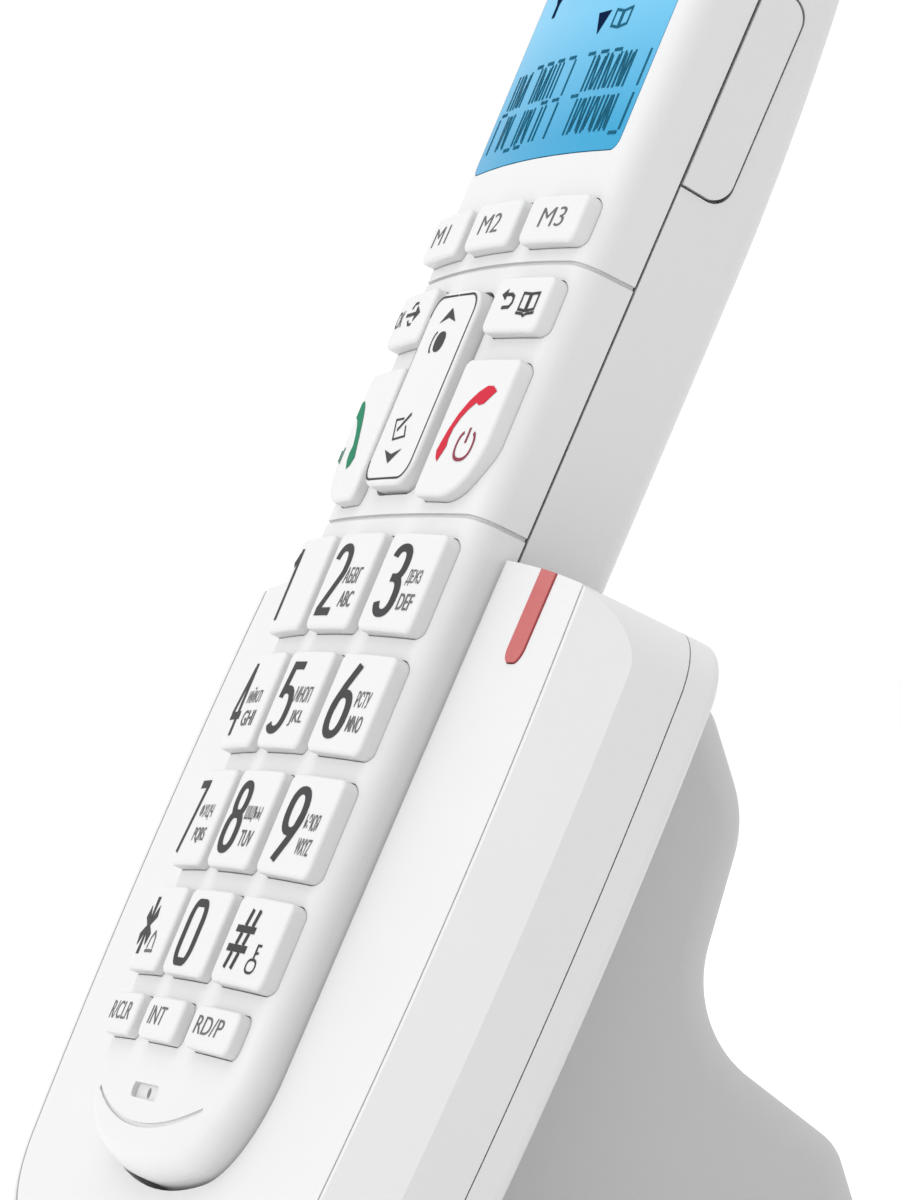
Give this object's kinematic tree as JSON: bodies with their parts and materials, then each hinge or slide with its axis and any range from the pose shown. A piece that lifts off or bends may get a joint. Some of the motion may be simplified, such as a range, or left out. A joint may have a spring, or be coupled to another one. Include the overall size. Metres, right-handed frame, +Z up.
{
  "type": "cordless phone with base",
  "caption": "Cordless telephone with a big-key handset leaning back in a wide slanted charging base that stands on an easel-like foot.",
  "frame": {"origin": "middle of the footprint of the docked phone, at table height", "axes": "+Z up, +X to the right of a person facing the keys, -Y towards that person"},
  "size_m": [0.116, 0.0822, 0.1777],
  "materials": {
    "white_plastic": "satin",
    "key_plastic": "satin",
    "clear_window": "polished",
    "blue_display": "gloss",
    "inner_plastic": "matt",
    "soft_rubber": "matt",
    "circuit_board": "satin",
    "dark_plastic": "matt",
    "steel": "brushed",
    "red_light": "translucent"
  },
  "bodies": {
    "base": {"base_front_panel": "white_plastic", "ring_light": "red_light", "ring_lamp": "inner_plastic", "base_front_shell": "white_plastic", "base_rear_shell": "white_plastic", "base_screws": "steel", "base_charge_contacts": "steel", "stand": "white_plastic", "bottom_plate": "white_plastic", "stand_screws": "steel", "rubber_feet": "soft_rubber", "base_board": "circuit_board", "line_jack": "dark_plastic", "power_jack": "dark_plastic"},
    "handset": {"handset_front_cover": "white_plastic", "handset_rear_cover": "white_plastic", "display_lens": "clear_window", "lcd_panel": "blue_display", "lcd_backlight": "inner_plastic", "keypad_membrane": "soft_rubber", "handset_board": "circuit_board", "earpiece": "dark_plastic", "loudspeaker": "dark_plastic", "microphone": "dark_plastic", "battery_tray": "inner_plastic", "battery_cells": "steel", "battery_contacts": "steel", "handset_charge_contacts": "steel", "handset_screws": "steel"},
    "page_key": {"page_key": "white_plastic"},
    "side_key": {"side_key": "white_plastic"},
    "battery_door": {"battery_door": "white_plastic"},
    "key_nav": {"key_nav": "key_plastic"},
    "key_m1": {"key_m1": "key_plastic"},
    "key_m2": {"key_m2": "key_plastic"},
    "key_m3": {"key_m3": "key_plastic"},
    "key_ok": {"key_ok": "key_plastic"},
    "key_back": {"key_back": "key_plastic"},
    "key_talk": {"key_talk": "key_plastic"},
    "key_end": {"key_end": "key_plastic"},
    "key_1": {"key_1": "key_plastic"},
    "key_2": {"key_2": "key_plastic"},
    "key_3": {"key_3": "key_plastic"},
    "key_4": {"key_4": "key_plastic"},
    "key_5": {"key_5": "key_plastic"},
    "key_6": {"key_6": "key_plastic"},
    "key_7": {"key_7": "key_plastic"},
    "key_8": {"key_8": "key_plastic"},
    "key_9": {"key_9": "key_plastic"},
    "key_star": {"key_star": "key_plastic"},
    "key_0": {"key_0": "key_plastic"},
    "key_hash": {"key_hash": "key_plastic"},
    "key_clear": {"key_clear": "key_plastic"},
    "key_int": {"key_int": "key_plastic"},
    "key_redial": {"key_redial": "key_plastic"}
  },
  "joints": [
    {"name": "handset_lift", "type": "slide", "parent": "base", "child": "handset", "axis": [0, 0.4163, 0.9092], "range_m": [0, 0.085]},
    {"name": "key_m1_press", "type": "slide", "parent": "handset", "child": "key_m1", "axis": [0, 0.9092, -0.4163], "range_m": [0, 0.0006], "stiffness_N_per_m": 3000},
    {"name": "key_m2_press", "type": "slide", "parent": "handset", "child": "key_m2", "axis": [0, 0.9092, -0.4163], "range_m": [0, 0.0006], "stiffness_N_per_m": 3000},
    {"name": "key_m3_press", "type": "slide", "parent": "handset", "child": "key_m3", "axis": [0, 0.9092, -0.4163], "range_m": [0, 0.0006], "stiffness_N_per_m": 3000},
    {"name": "key_ok_press", "type": "slide", "parent": "handset", "child": "key_ok", "axis": [0, 0.9092, -0.4163], "range_m": [0, 0.0006], "stiffness_N_per_m": 3000},
    {"name": "key_back_press", "type": "slide", "parent": "handset", "child": "key_back", "axis": [0, 0.9092, -0.4163], "range_m": [0, 0.0006], "stiffness_N_per_m": 3000},
    {"name": "key_talk_press", "type": "slide", "parent": "handset", "child": "key_talk", "axis": [0, 0.9092, -0.4163], "range_m": [0, 0.0006], "stiffness_N_per_m": 3000},
    {"name": "key_end_press", "type": "slide", "parent": "handset", "child": "key_end", "axis": [0, 0.9092, -0.4163], "range_m": [0, 0.0006], "stiffness_N_per_m": 3000},
    {"name": "key_1_press", "type": "slide", "parent": "handset", "child": "key_1", "axis": [0, 0.9092, -0.4163], "range_m": [0, 0.0006], "stiffness_N_per_m": 3000},
    {"name": "key_2_press", "type": "slide", "parent": "handset", "child": "key_2", "axis": [0, 0.9092, -0.4163], "range_m": [0, 0.0006], "stiffness_N_per_m": 3000},
    {"name": "key_3_press", "type": "slide", "parent": "handset", "child": "key_3", "axis": [0, 0.9092, -0.4163], "range_m": [0, 0.0006], "stiffness_N_per_m": 3000},
    {"name": "key_4_press", "type": "slide", "parent": "handset", "child": "key_4", "axis": [0, 0.9092, -0.4163], "range_m": [0, 0.0006], "stiffness_N_per_m": 3000},
    {"name": "key_5_press", "type": "slide", "parent": "handset", "child": "key_5", "axis": [0, 0.9092, -0.4163], "range_m": [0, 0.0006], "stiffness_N_per_m": 3000},
    {"name": "key_6_press", "type": "slide", "parent": "handset", "child": "key_6", "axis": [0, 0.9092, -0.4163], "range_m": [0, 0.0006], "stiffness_N_per_m": 3000},
    {"name": "key_7_press", "type": "slide", "parent": "handset", "child": "key_7", "axis": [0, 0.9092, -0.4163], "range_m": [0, 0.0006], "stiffness_N_per_m": 3000},
    {"name": "key_8_press", "type": "slide", "parent": "handset", "child": "key_8", "axis": [0, 0.9092, -0.4163], "range_m": [0, 0.0006], "stiffness_N_per_m": 3000},
    {"name": "key_9_press", "type": "slide", "parent": "handset", "child": "key_9", "axis": [0, 0.9092, -0.4163], "range_m": [0, 0.0006], "stiffness_N_per_m": 3000},
    {"name": "key_star_press", "type": "slide", "parent": "handset", "child": "key_star", "axis": [0, 0.9092, -0.4163], "range_m": [0, 0.0006], "stiffness_N_per_m": 3000},
    {"name": "key_0_press", "type": "slide", "parent": "handset", "child": "key_0", "axis": [0, 0.9092, -0.4163], "range_m": [0, 0.0006], "stiffness_N_per_m": 3000},
    {"name": "key_hash_press", "type": "slide", "parent": "handset", "child": "key_hash", "axis": [0, 0.9092, -0.4163], "range_m": [0, 0.0006], "stiffness_N_per_m": 3000},
    {"name": "key_clear_press", "type": "slide", "parent": "handset", "child": "key_clear", "axis": [0, 0.9092, -0.4163], "range_m": [0, 0.0006], "stiffness_N_per_m": 3000},
    {"name": "key_int_press", "type": "slide", "parent": "handset", "child": "key_int", "axis": [0, 0.9092, -0.4163], "range_m": [0, 0.0006], "stiffness_N_per_m": 3000},
    {"name": "key_redial_press", "type": "slide", "parent": "handset", "child": "key_redial", "axis": [0, 0.9092, -0.4163], "range_m": [0, 0.0006], "stiffness_N_per_m": 3000},
    {"name": "key_nav_rock", "type": "hinge", "parent": "handset", "child": "key_nav", "pos_m": [0, -0.00317, 0.10157], "axis": [1, 0, 0], "range_deg": [-2.5, 2.5], "stiffness_Nm_per_rad": 0.3},
    {"name": "side_key_press", "type": "slide", "parent": "handset", "child": "side_key", "axis": [-1, 0, 0], "range_m": [0, 0.0006], "stiffness_N_per_m": 3000},
    {"name": "battery_door_hinge", "type": "hinge", "parent": "handset", "child": "battery_door", "pos_m": [0, 0.00771, 0.08631], "axis": [-1, 0, 0], "range_deg": [0, 75]},
    {"name": "page_key_press", "type": "slide", "parent": "base", "child": "page_key", "axis": [1, 0, 0], "range_m": [0, 0.0007], "stiffness_N_per_m": 3000}
  ]
}
